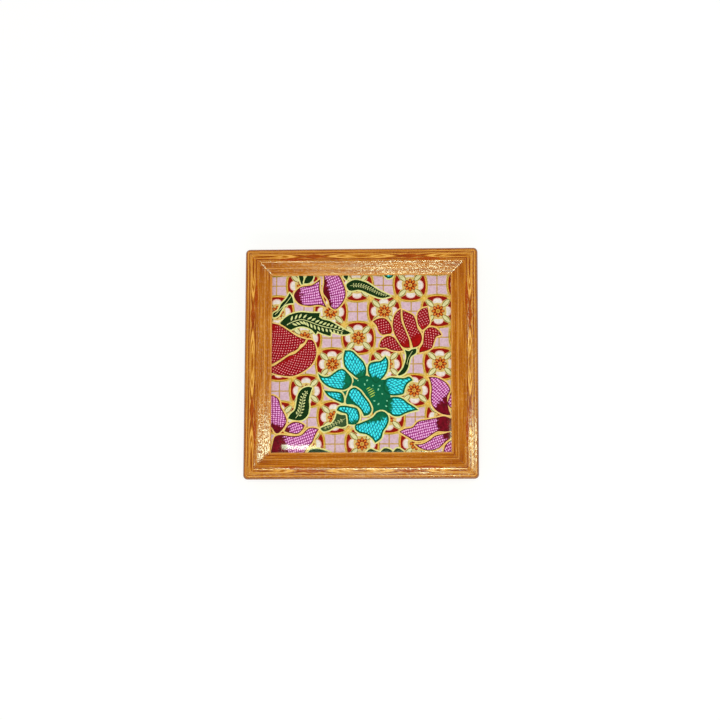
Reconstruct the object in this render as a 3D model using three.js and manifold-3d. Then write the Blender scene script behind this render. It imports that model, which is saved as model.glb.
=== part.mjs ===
// Framed coaster: a glazed ceramic tile held in a mitred wood-effect frame, on a cork base.
// Millimetres, +Z up. The origin is the centre of the cork's underside, and the front edge faces -Y.
import * as THREE from "three";
import { mergeVertices } from "three/addons/utils/BufferGeometryUtils.js";
import Module from "manifold-3d";

// Ceramic tile: a nominal 100 mm wall tile
const tileSide = 97.8;
const tileThickness = 4.2;
const tileCornerRadius = 1.2;
const cushionWidth = 10; // the glazed face rolls off over this distance from each edge
const cushionDrop = 0.8;
const keyDepth = 0.5; // pressed keys on the unglazed back
const keyWidth = 7;
const keyPitch = 11;
const keyMargin = 6;

// Frame rail: a moulding with a rabbet, sized across its section
const railWidth = 13.5;
const lipLap = 4; // how far the rail's lip laps over the tile
const lipThickness = 0.7;
const noseRadius = 0.5;
const slopeRise = 2; // from the lip up to the crest
const crestInset = 6; // from the outer face to the crest
const crestEase = 0.9;
const bandFall = 0.7; // from the crest down to the outer face
const outerEdgeRadius = 1.3;
const wallLean = 0.8; // the outer wall leans in by this much at its foot
const bottomEdgeEase = 0.5;
const outerCornerRadius = 2.2; // of the frame in plan
const mitreGlueLine = 0.1;

// Corner nail: a strip of steel bent to a V and driven up into both rails of a mitre
const nailInset = 3.6; // from the outer faces to the bend
const nailLeg = 5;
const nailThickness = 0.7;
const nailHeight = 4;
const nailSink = 0.2;

// Back board, bonding pad and cork
const boardThickness = 1.5;
const boardCornerRadius = 0.8;
const padThickness = 0.4;
const padInset = 7; // from the tile's edge
const padCornerRadius = 3;
const corkThickness = 1.5;
const corkInset = 0.7; // from the outer edge of the rails' flat underside
const corkCornerRadius = 3;

// Clearances
const tileClearance = 0.4;
const boardClearance = 0.4;
const nailClearance = 0.3;

// Facets
const curveSegments = 6;
const overcut = 1; // how far a cutting solid runs past the face that it cuts

// Sizes that follow from the ones above
const frameSide = tileSide - 2 * lipLap + 2 * railWidth;
const frameHalf = frameSide / 2;
const rabbetHalf = tileSide / 2 + tileClearance;
const rabbetSeat = frameHalf - rabbetHalf; // width of the rail's foot, outside the rabbet
const railBase = corkThickness;
const padBase = railBase + boardThickness;
const tileBase = padBase + padThickness;
const lipUnderside = boardThickness + padThickness + tileThickness; // above the rail's own base
const lipTop = lipUnderside + lipThickness;
const crestHeight = lipTop + slopeRise;
const nailBase = railBase + nailSink;

const quarterTurn = Math.PI / 2;
const wasm = await Module();
wasm.setup();

function solidOf(geometry) {
  const bare = geometry.clone();
  bare.deleteAttribute("normal");
  bare.deleteAttribute("uv");
  const merged = mergeVertices(bare);
  const vertProperties = merged.attributes.position.array;
  const triVerts = new Uint32Array(merged.index.array);
  return new wasm.Manifold(new wasm.Mesh({ numProp: 3, vertProperties, triVerts }));
}

function geometryOf(solid) {
  const { vertProperties, triVerts } = solid.getMesh();
  const shared = new THREE.BufferGeometry();
  shared.setAttribute("position", new THREE.BufferAttribute(vertProperties, 3));
  shared.setIndex(new THREE.BufferAttribute(triVerts, 1));
  const faceted = shared.toNonIndexed();
  faceted.computeVertexNormals();
  return faceted;
}

function roundedSquare(side, radius) {
  const edge = side / 2;
  const turn = edge - radius;
  const outline = new THREE.Shape();
  outline.moveTo(-turn, -edge);
  outline.lineTo(turn, -edge);
  outline.absarc(turn, -turn, radius, -quarterTurn, 0);
  outline.lineTo(edge, turn);
  outline.absarc(turn, turn, radius, 0, quarterTurn);
  outline.lineTo(-turn, edge);
  outline.absarc(-turn, turn, radius, quarterTurn, 2 * quarterTurn);
  outline.lineTo(-edge, -turn);
  outline.absarc(-turn, -turn, radius, 2 * quarterTurn, 3 * quarterTurn);
  return outline;
}

// A plan outline raised from z = base.
function plate(outline, thickness, base) {
  const options = { depth: thickness, bevelEnabled: false, curveSegments };
  return new THREE.ExtrudeGeometry(outline, options).translate(0, 0, base);
}

// A cross-section in Y and Z run along X, centred on x = 0.
function moulding(section, length) {
  const options = { depth: length, bevelEnabled: false, curveSegments };
  const axes = new THREE.Matrix4().makeBasis(
    new THREE.Vector3(0, 1, 0),
    new THREE.Vector3(0, 0, 1),
    new THREE.Vector3(1, 0, 0),
  );
  const run = new THREE.ExtrudeGeometry(section, options).applyMatrix4(axes);
  return run.translate(-length / 2, 0, 0);
}

// Ceramic tile: the cushioned section run both ways, with its keys pressed into the back.
function tileSection() {
  const edge = tileSide / 2;
  const flat = edge - cushionWidth;
  const shoulder = tileThickness - cushionDrop;
  const section = new THREE.Shape();
  section.moveTo(-edge, 0);
  section.lineTo(edge, 0);
  section.lineTo(edge, shoulder);
  section.absellipse(flat, shoulder, cushionWidth, cushionDrop, 0, quarterTurn);
  section.lineTo(-flat, tileThickness);
  section.absellipse(-flat, shoulder, cushionWidth, cushionDrop, quarterTurn, 2 * quarterTurn);
  return section;
}

function tileGeometry() {
  const alongX = moulding(tileSection(), tileSide);
  const alongY = alongX.clone().rotateZ(quarterTurn);
  const outline = plate(roundedSquare(tileSide, tileCornerRadius), tileThickness + overcut, 0);
  let tile = solidOf(alongX).intersect(solidOf(alongY)).intersect(solidOf(outline));
  const keyLength = tileSide - 2 * keyMargin;
  const keys = Math.floor((keyLength - keyWidth) / keyPitch) + 1;
  const keyHeight = keyDepth + overcut;
  for (let k = 0; k < keys; k += 1) {
    const key = new THREE.BoxGeometry(keyLength, keyWidth, keyHeight);
    key.translate(0, (k - (keys - 1) / 2) * keyPitch, keyDepth - keyHeight / 2);
    tile = tile.subtract(solidOf(key));
  }
  return geometryOf(tile).translate(0, 0, tileBase);
}

// Frame rail: leaning outer wall, rounded edge, falling band, crest, slope down to the lip, rabbet.
function railSection() {
  const bandSlope = bandFall / crestInset;
  const innerSlope = slopeRise / (railWidth - crestInset);
  const bandOuter = crestHeight - bandFall;
  const outer = -frameHalf;
  const foot = outer + wallLean;
  const section = new THREE.Shape();
  section.moveTo(foot + bottomEdgeEase, 0);
  section.lineTo(outer + rabbetSeat, 0);
  section.lineTo(outer + rabbetSeat, lipUnderside);
  section.lineTo(outer + railWidth, lipUnderside);
  section.lineTo(outer + railWidth, lipTop - noseRadius);
  section.quadraticCurveTo(
    outer + railWidth,
    lipTop,
    outer + railWidth - noseRadius,
    lipTop + noseRadius * innerSlope,
  );
  section.lineTo(outer + crestInset + crestEase, crestHeight - crestEase * innerSlope);
  section.quadraticCurveTo(
    outer + crestInset,
    crestHeight,
    outer + crestInset - crestEase,
    crestHeight - crestEase * bandSlope,
  );
  section.lineTo(outer + outerEdgeRadius, bandOuter + outerEdgeRadius * bandSlope);
  section.quadraticCurveTo(outer, bandOuter, outer, bandOuter - outerEdgeRadius);
  section.lineTo(foot, bottomEdgeEase);
  section.quadraticCurveTo(foot, 0, foot + bottomEdgeEase, 0);
  return section;
}

// The wedge of the plan that a front rail keeps between its two mitres.
function mitreWedge() {
  const tip = -mitreGlueLine * Math.SQRT1_2;
  const wedge = new THREE.Shape();
  wedge.moveTo(0, tip);
  wedge.lineTo(-frameSide, tip - frameSide);
  wedge.lineTo(frameSide, tip - frameSide);
  return wedge;
}

// Plan of the front left corner nail, grown by a clearance on every side.
function nailOutline(clearance) {
  const bend = nailInset - frameHalf;
  const outside = bend - clearance;
  const inside = bend + nailThickness + clearance;
  const end = bend + nailLeg + clearance;
  const outline = new THREE.Shape();
  outline.moveTo(outside, outside);
  outline.lineTo(end, outside);
  outline.lineTo(end, inside);
  outline.lineTo(inside, inside);
  outline.lineTo(inside, end);
  outline.lineTo(outside, end);
  return outline;
}

function railGeometry() {
  const height = crestHeight + 2 * overcut;
  const wedge = plate(mitreWedge(), height, -overcut);
  const corners = plate(roundedSquare(frameSide, outerCornerRadius), height, -overcut);
  const slotHeight = nailSink + nailHeight + nailClearance + overcut;
  const leftSlot = plate(nailOutline(nailClearance), slotHeight, -overcut);
  const rightSlot = leftSlot.clone().rotateZ(quarterTurn);
  const rail = solidOf(moulding(railSection(), frameSide))
    .intersect(solidOf(wedge))
    .intersect(solidOf(corners))
    .subtract(solidOf(leftSlot))
    .subtract(solidOf(rightSlot));
  return geometryOf(rail).translate(0, 0, railBase);
}

function named(name, geometry, material) {
  const mesh = new THREE.Mesh(geometry, material);
  mesh.name = name;
  return mesh;
}

const woodEffect = new THREE.MeshStandardMaterial({ color: 0xb8722c, roughness: 0.25 });
const glaze = new THREE.MeshStandardMaterial({ color: 0xd9a678, roughness: 0.08 });
const foam = new THREE.MeshStandardMaterial({ color: 0xf0eee6, roughness: 0.9 });
const hardboard = new THREE.MeshStandardMaterial({ color: 0x7d5a3a, roughness: 0.8 });
const cork = new THREE.MeshStandardMaterial({ color: 0xbf9160, roughness: 0.9 });
const steel = new THREE.MeshStandardMaterial({ color: 0xa8abad, roughness: 0.4, metalness: 0.9 });

const coaster = new THREE.Group();

const corkSide = frameSide - 2 * (wallLean + bottomEdgeEase + corkInset);
const corkSheet = plate(roundedSquare(corkSide, corkCornerRadius), corkThickness, 0);
coaster.add(named("cork_base", corkSheet, cork));

const boardSide = 2 * (rabbetHalf - boardClearance);
const board = plate(roundedSquare(boardSide, boardCornerRadius), boardThickness, railBase);
coaster.add(named("back_board", board, hardboard));

const padSide = tileSide - 2 * padInset;
const pad = plate(roundedSquare(padSide, padCornerRadius), padThickness, padBase);
coaster.add(named("tile_adhesive_pad", pad, foam));

coaster.add(named("ceramic_tile", tileGeometry(), glaze));

// Four sides, counter-clockwise from the front, each with its rail and the nail of its left corner.
const rail = railGeometry();
const nail = plate(nailOutline(0), nailHeight, nailBase);
const sides = [
  ["frame_rail_front", "corner_nail_front_left"],
  ["frame_rail_right", "corner_nail_front_right"],
  ["frame_rail_back", "corner_nail_back_right"],
  ["frame_rail_left", "corner_nail_back_left"],
];
sides.forEach(([railName, nailName], turn) => {
  const side = new THREE.Group();
  side.rotation.z = turn * quarterTurn;
  side.add(named(railName, rail, woodEffect));
  side.add(named(nailName, nail, steel));
  coaster.add(side);
});

export default coaster;
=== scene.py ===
"""Framed tile coaster: fine surfaces, materials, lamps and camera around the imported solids.

Shapes are worked out in millimetres and turned into metres when a mesh is made.
"""

import math

import bmesh
import bpy
import numpy as np
from mathutils import Matrix, Vector, noise
from mathutils.geometry import delaunay_2d_cdt


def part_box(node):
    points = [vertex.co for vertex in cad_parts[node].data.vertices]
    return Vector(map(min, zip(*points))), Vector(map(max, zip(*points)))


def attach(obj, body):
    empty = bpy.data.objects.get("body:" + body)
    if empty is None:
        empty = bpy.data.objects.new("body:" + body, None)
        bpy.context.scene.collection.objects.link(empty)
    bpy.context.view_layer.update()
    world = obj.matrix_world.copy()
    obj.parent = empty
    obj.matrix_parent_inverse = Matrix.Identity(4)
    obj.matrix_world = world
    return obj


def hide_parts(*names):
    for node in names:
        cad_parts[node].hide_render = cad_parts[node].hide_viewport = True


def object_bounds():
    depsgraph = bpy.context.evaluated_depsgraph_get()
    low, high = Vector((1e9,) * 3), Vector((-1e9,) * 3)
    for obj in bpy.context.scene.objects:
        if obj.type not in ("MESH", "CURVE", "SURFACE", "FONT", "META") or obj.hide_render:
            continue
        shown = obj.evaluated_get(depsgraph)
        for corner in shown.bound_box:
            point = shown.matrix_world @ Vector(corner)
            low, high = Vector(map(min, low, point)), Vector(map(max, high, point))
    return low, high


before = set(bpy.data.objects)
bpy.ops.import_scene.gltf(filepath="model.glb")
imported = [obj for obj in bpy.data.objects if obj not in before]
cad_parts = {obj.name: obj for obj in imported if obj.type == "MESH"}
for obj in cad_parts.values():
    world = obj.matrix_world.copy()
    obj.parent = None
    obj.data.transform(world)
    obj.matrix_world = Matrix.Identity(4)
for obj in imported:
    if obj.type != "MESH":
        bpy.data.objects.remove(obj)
cad_low, cad_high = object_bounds()

MM = 0.001


def box_mm(node):
    low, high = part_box(node)
    return low / MM, high / MM


# Sizes read from the solids
FRAME_HALF = cad_high.x / MM
RAIL_LOW, RAIL_HIGH = box_mm("frame_rail_front")
RAIL_WIDTH = RAIL_HIGH.y - RAIL_LOW.y
RAIL_BASE = RAIL_LOW.z
TILE_LOW, TILE_HIGH = box_mm("ceramic_tile")
TILE_HALF = TILE_HIGH.x
TILE_BASE = TILE_LOW.z
TILE_TOP = TILE_HIGH.z
CORK_LOW, CORK_HIGH = box_mm("cork_base")
PAD_LOW, PAD_HIGH = box_mm("tile_adhesive_pad")

# Frame rail section, from the outer face inwards
LIP_LAP = 4.0
LIP_THICKNESS = 0.7
NOSE_RADIUS = 0.5
NOSE_STEPS = 6
CREST_INSET = 6.0
CREST_EASE = 1.5
CREST_HEIGHT = 8.8  # above the rail's base, before the crest is eased
BAND_FALL = 0.7
EDGE_RADIUS = 1.3
EDGE_STEPS = 10
WALL_LEAN = 0.8
FOOT_EASE = 0.5
CORNER_RADIUS = 2.2
RABBET_CLEARANCE = 0.4
MITRE_GAP = 0.03
MITRE_FILL = 1.1  # reach of the lacquer that softens the mitre
MITRE_ZONE = 0.94  # share of the way to the mitre from which the mesh is finer
MIDDLE_STATIONS = 56  # of the mesh, from the rail's middle to that zone
END_STATIONS = 17  # through that zone
RIPPLE = 0.03  # depth of the lacquer's unevenness
RIPPLE_LENGTH = 7.0
RIPPLE_WIDTH = 2.2

# Ceramic tile
CUSHION_WIDTH = 10.0
CUSHION_DROP = 0.7
TILE_CORNER = 1.2
EDGE_DROPS = (0.25, 1.2)  # steps of the edge, down from the glazed face
FACE_SPACING = 2.0  # between the points that shape the face's roll-off
KEY_DEPTH = 0.5
KEY_WIDTH = 7.0
KEY_PITCH = 11.0
KEY_MARGIN = 6.0
PRINT_MERGE = 1e-4  # distance at which points of the print become one
BACK_MERGE = 1e-5  # the same for the back

# Cork, pad, board and nails
SHEET_CORNER = 3.0
CORK_SPACING = 0.9
PORE_SIZE = 2.1
PORE_LEVEL = 0.28  # of the noise, above which a pore is open
PORE_DEPTH = 0.5
CRUMB_SIZE = 1.7
CRUMB_DEPTH = (0.18, 0.12)  # on average, and how much it varies
CRUMBLED_EDGE = 0.6
PAD_SPACING = 1.5
PAD_WAVE = 3.0
PAD_UNEVENNESS = 0.01
SUNKEN_EDGE = 1.5
EDGE_SINK = 0.05
BOARD_EASE = 0.15
NAIL_EASE = 0.08

# Camera
CAMERA_AIM = Vector((-0.69, 1.91, 6.0))
CAMERA_DISTANCE = 1046.0
CAMERA_TILT = math.radians(10.2)
CAMERA_SIDE = math.radians(3.07)
CAMERA_ROLL = math.radians(0.17)
CAMERA_LENS = 104.5
CAMERA_SENSOR = 36.0

# Floor, in metres
FLOOR_HALF = 3.0
FLOOR_DROP = 0.0004
FLOOR_GREY = (0.2, 0.2, 0.2, 1.0)
FLOOR_GLOW = 0.82

# Surround: strengths, and heights on a unit dome between which one gives way to the next
WALL_LIGHT = 1.5
BELOW_LIGHT = 0.95
WALL_EDGE = (-0.1, 0.1)
CEILING_SHARE = 0.1  # of the walls' light
CEILING_EDGE = (0.6, 0.7)

# Softboxes overhead, for the streaks of light on the rails and clear of the tile's mirror:
# place along x and y, width, depth and radiance
LAMP_HEIGHT = 600.0
LAMP_TINT = (0.8, 1.0, 0.68)
LAMPS = {
    "front": (8, -143, 82, 20, 21),
    "front_left": (-54, -147, 42, 14, 13),
    "right": (126, 42, 78, 30, 8),
    "band": (186, 44, 42, 42, 9.5),
    "far": (254, 44, 92, 40, 26),
    "left": (-84, 8, 26, 20, 30),
    "middle": (-2, -52, 104, 40, 33),
    "middle_left": (-84, -52, 60, 34, 18),
    "back": (128, 132, 26, 26, 18),
    "low": (0, -640, 420, 70, 18),
}

# Wood figure: the eyes along a rail's outer band, its tones from dark to pale, and its straight lines
# by distance from the outer face, half width, strength and colour
EYE_DEPTH = 4.1
EYE_HALF_DEPTH = 1.15
EYE_SPACING = 24.0
WOOD_TONES = ("#964200", "#b2620a", "#c8781c", "#ecaa50")
WOOD_DARK = "#923a00"
# WOOD_PALE is the pale line of the figure, and is also painted along the lip's nose as a painted highlight
WOOD_PALE = "#e49c4a"
RAIL_LINES = (
    (5.5, 0.4, 1.0, WOOD_DARK),
    (9.3, 0.4, 0.3, WOOD_DARK),
    (9.9, 0.4, 0.6, WOOD_PALE),
    (11.6, 0.5, 0.25, WOOD_DARK),
    (0.1, 0.9, 0.7, "#6a4220"),
)

# Petals: two shades of the ground, the dashes, two shades of the deep foot, the dashes' reach as a share
# of their pitch, their pitch across and along the petal, their turn in degrees, and their rows' slip
PETAL_LOOKS = {
    "crimson": (("#8a000e", "#a00618"), "#ff9ca4", ("#920200", "#ac0402"), 0.2, (1.12, 1.12), 40),
    "magenta": (("#8c1a6c", "#a22e86"), "#ffb4f0", ("#5c0010", "#7c021c"), 0.34, (1.04, 1.04), 4),
    "turquoise": (("#00627e", "#007692"), "#46ecfc", ("#025c3e", "#06704c"), 0.36, (0.98, 1.7), 6, 0.5),
}
PETAL_FIELDS = tuple(PETAL_LOOKS)

# Colours of the print
PAINTS = {
    "cream": "#e2be7a",
    "line": "#f6c87e",
    "pale_line": "#eae09a",
    "star": "#eabe62",
    "gold": "#de8e36",
    "olive": "#8c6c1c",
    "moss": "#565212",
    "lilac": "#deb8cc",
    "tan": "#c89a54",
    "red": "#960c00",
    "orange": "#e47e36",
    "pink": "#eeb0ac",
    "lobe": "#f0dedc",
    "leaf_pale": "#e6daaa",
    "rosette": "#8c1a00",
    "maroon": "#5c0410",
    "crimson_rim": "#6c0206",
    "magenta_rim": "#66081c",
    "teal_rim": "#005838",
    "heart": "#046444",
    "leaf": "#12300c",
    "vein": "#e2dea0",
    "calyx": "#3a5030",
    "spark": "#8cd8b0",
    "stamen": "#bcd860",
}


def linear(hex_colour):
    """An sRGB colour as the linear RGBA that shader sockets take."""
    parts = [int(hex_colour[k : k + 2], 16) / 255 for k in (1, 3, 5)]
    curve = [c / 12.92 if c <= 0.04045 else ((c + 0.055) / 1.055) ** 2.4 for c in parts]
    return (*curve, 1.0)


class Nodes:
    """A node tree, put together one node at a time from numbers, hex colours and other nodes' outputs."""

    def __init__(self, owner):
        owner.use_nodes = True
        self.tree = owner.node_tree

    def put(self, socket, value):
        if isinstance(value, bpy.types.NodeSocket):
            self.tree.links.new(value, socket)
        else:
            socket.default_value = linear(value) if isinstance(value, str) else value

    def node(self, kind, inputs=None, **settings):
        made = self.tree.nodes.new("ShaderNode" + kind)
        for key, value in settings.items():
            setattr(made, key, value)
        for socket, value in (inputs or {}).items():
            self.put(made.inputs[socket], value)
        return made

    def math(self, operation, a, b=0.0):
        return self.node("Math", {0: a, 1: b}, operation=operation).outputs[0]

    def times(self, a, b):
        return self.math("MULTIPLY", a, b)

    def minus(self, a, b):
        return self.math("SUBTRACT", a, b)

    def plus(self, a, b, by=1.0):
        """a, with b times by on top of it."""
        return self.node("Math", {0: b, 1: by, 2: a}, operation="MULTIPLY_ADD").outputs[0]

    def away(self, value, centre):
        return self.math("ABSOLUTE", self.minus(value, centre))

    def step(self, value, low, high, start=0.0, end=1.0):
        """start on the side of low, end on the side of high and smooth between them."""
        inputs = {"Value": value, "From Min": low, "From Max": high, "To Min": start, "To Max": end}
        return self.node("MapRange", inputs, interpolation_type="SMOOTHSTEP").outputs[0]

    def line(self, value, centre, half_width):
        """1 where value is at centre, fading to 0 at half_width from it."""
        return self.step(self.away(value, centre), half_width, 0.3 * half_width)

    def diamond(self, x, middle_x, half_x, y, middle_y, half_y):
        """1 inside a diamond about a middle, with soft edges."""
        left = self.plus(1.0, self.away(x, middle_x), -1 / half_x)
        left = self.plus(left, self.away(y, middle_y), -1 / half_y)
        return self.step(left, 0.0, 0.3)

    def mix(self, share, a, b):
        return self.node("Mix", {0: share, 6: a, 7: b}, data_type="RGBA").outputs[2]

    def blend(self, value, low, high, under, over, most=1.0):
        """A colour that goes from under to over as value goes from low to high, at most by a share."""
        return self.mix(self.step(value, low, high, 0.0, most), under, over)

    def place(self):
        """The point on the object, in millimetres."""
        return self.scaled(self.node("TexCoord").outputs["Object"], 1 / MM, 1 / MM, 1 / MM)

    def map_of(self, name):
        return self.node("UVMap", uv_map=name).outputs["UV"]

    def scaled(self, vector, x, y, z=1.0):
        return self.node("Mapping", {"Vector": vector, "Scale": (x, y, z)}).outputs[0]

    def parts(self, vector):
        return self.node("SeparateXYZ", {0: vector}).outputs

    def joined(self, x, y):
        return self.node("CombineXYZ", {0: x, 1: y}).outputs[0]

    def noise(self, vector, scale, detail, roughness=0.5):
        inputs = {"Vector": vector, "Scale": scale, "Detail": detail, "Roughness": roughness}
        return self.node("TexNoise", inputs).outputs["Fac"]

    def grain(self, along, across, by_along, by_across=1.0, scale=1.0, detail=2.0, roughness=0.5):
        """Noise drawn out along a rail, by different scales along it and across it."""
        stretched = self.scaled(self.joined(along, across), by_along, by_across)
        return self.noise(stretched, scale, detail, roughness)

    def cells(self, vector, scale, output, randomness=1.0, **settings):
        inputs = {"Vector": vector, "Scale": scale, "Randomness": randomness}
        return self.node("TexVoronoi", inputs, **settings).outputs[output]

    def bump(self, height, depth):
        """A bumped normal, with the height of 1 raised by depth in millimetres."""
        inputs = {"Height": height, "Strength": 1.0, "Distance": depth * MM}
        return self.node("Bump", inputs).outputs[0]


class Shader(Nodes):
    """A material's nodes."""

    def __init__(self, name):
        self.material = bpy.data.materials.new(name)
        super().__init__(self.material)
        self.surface = self.tree.nodes["Principled BSDF"]

    def finish(self, **values):
        """Sets the surface's own sockets, given with _ for a space."""
        for key, value in values.items():
            self.put(self.surface.inputs[key.replace("_", " ")], value)
        return self.material


# Materials


def glazed(shader, colour):
    """A colour under a fired glaze, with its slow waves and fine orange peel."""
    place = shader.place()
    waves = shader.noise(place, scale=0.16, detail=1.0)
    peel = shader.noise(place, scale=0.9, detail=1.0)
    normal = shader.bump(shader.plus(waves, peel, by=0.1), depth=0.03)
    return shader.finish(Base_Color=colour, Roughness=0.07, Specular_IOR_Level=0.5, Normal=normal)


def print_material():
    """Flat paints: the paint is the mesh's own colour, a little mottled."""
    shader = Shader("glazed_print")
    paint = shader.node("VertexColor", layer_name="paint").outputs["Color"]
    worn = shader.node("HueSaturation", {"Color": paint, "Value": 0.84, "Saturation": 1.1}).outputs[0]
    mottle = shader.noise(shader.place(), scale=1.1, detail=3.0)
    return glazed(shader, shader.blend(mottle, 0.35, 0.65, worn, paint))


def petal_dashes(shader, across_along, size, pitch, turn, slip):
    """1 on the dashes and 0 between them.

    Each row is moved on by slip, a share of a dash's length, from the row before it. Dashes in slipped
    rows have square ends, and those in a plain grid are round.
    """
    turned = shader.node("Mapping", {"Vector": across_along, "Rotation": (0, 0, math.radians(turn))})
    column, row = shader.parts(shader.scaled(turned.outputs[0], 1 / pitch[0], 1 / pitch[1]))[:2]
    slipped = shader.joined(column, shader.plus(row, column, slip))
    settings = {"voronoi_dimensions": "2D", "distance": "CHEBYCHEV" if slip else "EUCLIDEAN"}
    spot = shader.cells(slipped, scale=1.0, output="Distance", randomness=0.16, **settings)
    uneven = shader.plus(shader.noise(shader.place(), scale=3.0, detail=1.0), 0.5)
    return shader.step(shader.plus(spot, uneven, by=-size), 0.09, -0.09)


def petal_material(name, ground, dots, deep, size, pitch, turn, slip=0.0):
    """A petal: rows of wax-resist dashes along it, none over its deep-coloured foot.

    The petal map runs across the petal and along it from the edge of the deep foot, in millimetres.
    """
    shader = Shader(f"petal_{name}")
    across_along = shader.map_of("petal")
    waver = shader.noise(shader.place(), scale=0.7, detail=2.0)
    strokes = shader.noise(shader.scaled(across_along, 1.1, 0.12), scale=1.0, detail=1.0)
    ragged = shader.minus(shader.plus(waver, strokes), 1.0)
    foot = shader.plus(shader.parts(across_along)[1], ragged, by=4.5)
    open_field = shader.step(foot, -0.5, 0.5)
    dashes = petal_dashes(shader, across_along, size, pitch, turn, slip)
    depth = shader.blend(waver, 0.35, 0.65, *deep)
    shade = shader.blend(waver, 0.3, 0.7, *ground)
    field = shader.mix(open_field, depth, shade)
    return glazed(shader, shader.mix(shader.times(dashes, open_field), field, dots))


def biscuit_material():
    """The tile's unglazed body: off-white, grainy and matt."""
    shader = Shader("tile_biscuit")
    place = shader.place()
    speck = shader.cells(place, scale=1.6, output="Distance")
    tone = shader.noise(place, scale=0.25, detail=3.0)
    body = shader.blend(tone, 0.35, 0.65, "#d8c9b4", "#eadfcd")
    colour = shader.blend(speck, 0.1, 0.16, "#a88f74", body)
    rough = shader.plus(0.75, tone, by=0.2)
    return shader.finish(Base_Color=colour, Roughness=rough, Normal=shader.bump(speck, depth=0.06))


def wood_colour(shader, along, across):
    """The figure, alike on both sides of the rail's middle.

    The eyes along the outer band are the closed contours of a field, with dark wedges between them.
    The grain inside the band is straight; the lip's nose is painted paler, as a painted highlight.
    """
    mirrored = shader.math("ABSOLUTE", along)
    drift = shader.grain(mirrored, across, by_along=0.07, scale=0.6)
    streak = shader.grain(mirrored, across, by_along=0.028, by_across=1.7, detail=3.0, roughness=0.55)
    fibre = shader.grain(along, across, by_along=0.12, by_across=3.2, roughness=0.6)
    drift, streak, fibre = (shader.minus(made, 0.5) for made in (drift, streak, fibre))

    offset = shader.times(shader.minus(across, EYE_DEPTH), 1 / EYE_HALF_DEPTH)
    swing = shader.math("COSINE", shader.times(mirrored, math.pi / EYE_SPACING))
    field = shader.plus(shader.minus(shader.times(offset, offset), swing), drift, by=1.4)
    band = shader.times(shader.step(across, 1.0, 1.7), shader.step(across, 6.3, 5.6))

    straight = shader.plus(0.42, streak, by=2.0)
    rings = shader.math("SINE", shader.times(field, 7.0))
    turned = shader.plus(shader.plus(0.8, streak), rings, by=0.36)
    turned = shader.plus(turned, shader.line(field, -1.1, 0.8), by=-0.4)
    tone = shader.plus(straight, shader.minus(turned, straight), band)
    tone = shader.plus(tone, fibre, by=0.9)
    colour = WOOD_TONES[0]
    for k, tint in enumerate(WOOD_TONES[1:]):
        colour = shader.blend(tone, 0.14 + 0.26 * k, 0.36 + 0.26 * k, colour, tint)

    wedge_tint = shader.blend(fibre, -0.12, 0.12, "#8e3400", "#b8560c")
    for share, tint in (
        (shader.times(band, shader.line(field, 0.95, 0.34)), WOOD_DARK),
        (shader.times(band, shader.line(field, 2.5, 0.5)), WOOD_DARK),
        (shader.times(shader.line(shader.plus(across, drift), 2.1, 0.45), 0.9), WOOD_DARK),
        *((shader.times(shader.line(across, *line), most), tint) for *line, most, tint in RAIL_LINES),
        (shader.diamond(mirrored, EYE_SPACING, 9.0, across, EYE_DEPTH, 1.5), wedge_tint),
        (shader.diamond(mirrored, 34.0, 12.0, across, 5.6, 1.0), "#a64200"),
        # painted highlight: the lip's rounded nose is lightened towards WOOD_PALE, standing in for the
        # lacquer's reflection along it
        (shader.step(across, 12.7, 13.2, start=0.0, end=0.6), WOOD_PALE),
    ):
        colour = shader.mix(share, colour, tint)
    return colour


def wood_material():
    """Printed wood under a brushed gloss lacquer with small dull pores.

    The grain map runs along the rail from its middle and across it from its outer face, in millimetres.
    """
    shader = Shader("wood_effect_print")
    along, across = shader.parts(shader.map_of("grain"))[:2]
    brushed = shader.grain(along, across, by_along=0.12, detail=1.0)
    peel = shader.noise(shader.place(), scale=0.75, detail=2.0)
    lacquer = shader.plus(shader.times(brushed, 0.6), peel, by=0.7)
    depth = shader.times(shader.step(across, 5.0, 6.4, start=0.45, end=1.0), shader.step(across, -0.4, 0.8))
    pores = shader.grain(along, across, by_along=0.55, scale=1.2)
    return shader.finish(
        Base_Color=wood_colour(shader, along, across),
        Roughness=shader.step(pores, 0.51, 0.42, start=0.07, end=0.32),
        Specular_IOR_Level=0.5,
        Normal=shader.bump(shader.times(lacquer, depth), depth=0.04),
    )


def core_material():
    """The rail's pressed-fibre core, seen only in the rabbet and under the foot."""
    shader = Shader("rail_core")
    fibre = shader.noise(shader.scaled(shader.place(), 1.0, 1.0, 4.0), scale=2.2, detail=4.0, roughness=0.7)
    colour = shader.blend(fibre, 0.35, 0.68, "#8a6238", "#c49a62")
    rough = shader.plus(0.7, fibre, by=0.25)
    return shader.finish(Base_Color=colour, Roughness=rough, Normal=shader.bump(fibre, depth=0.05))


def cork_material():
    """Agglomerated cork: packed granules of several browns, dark bark specks and open pores."""
    shader = Shader("cork_sheet")
    place = shader.place()
    warp = shader.node("TexNoise", {"Vector": place, "Scale": 0.5}).outputs["Color"]
    bent = shader.node("VectorMath", {0: place, 1: warp}).outputs[0]
    granules = 0.55  # per millimetre
    hue, share, dark_one = shader.parts(shader.cells(bent, granules, "Color"))[:3]
    crack = shader.cells(bent, granules, "Distance", feature="DISTANCE_TO_EDGE")
    grain = shader.noise(place, scale=2.6, detail=3.0, roughness=0.6)
    colour = shader.mix(hue, "#b98a55", "#d8b07c")
    for value, low, high, tint, most in (
        (share, 0.7, 0.78, "#9a6a3c", 0.6),
        (dark_one, 0.9, 0.94, "#5b3a1e", 0.85),
        (grain, 0.45, 0.7, "#8d6236", 0.5),
        (crack, 0.1, 0.0, "#7a5630", 0.35),
    ):
        colour = shader.blend(value, low, high, colour, tint, most)
    height = shader.plus(shader.step(crack, 0.0, 0.2), grain, by=0.6)
    return shader.finish(Base_Color=colour, Roughness=0.85, Normal=shader.bump(height, depth=0.12))


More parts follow.
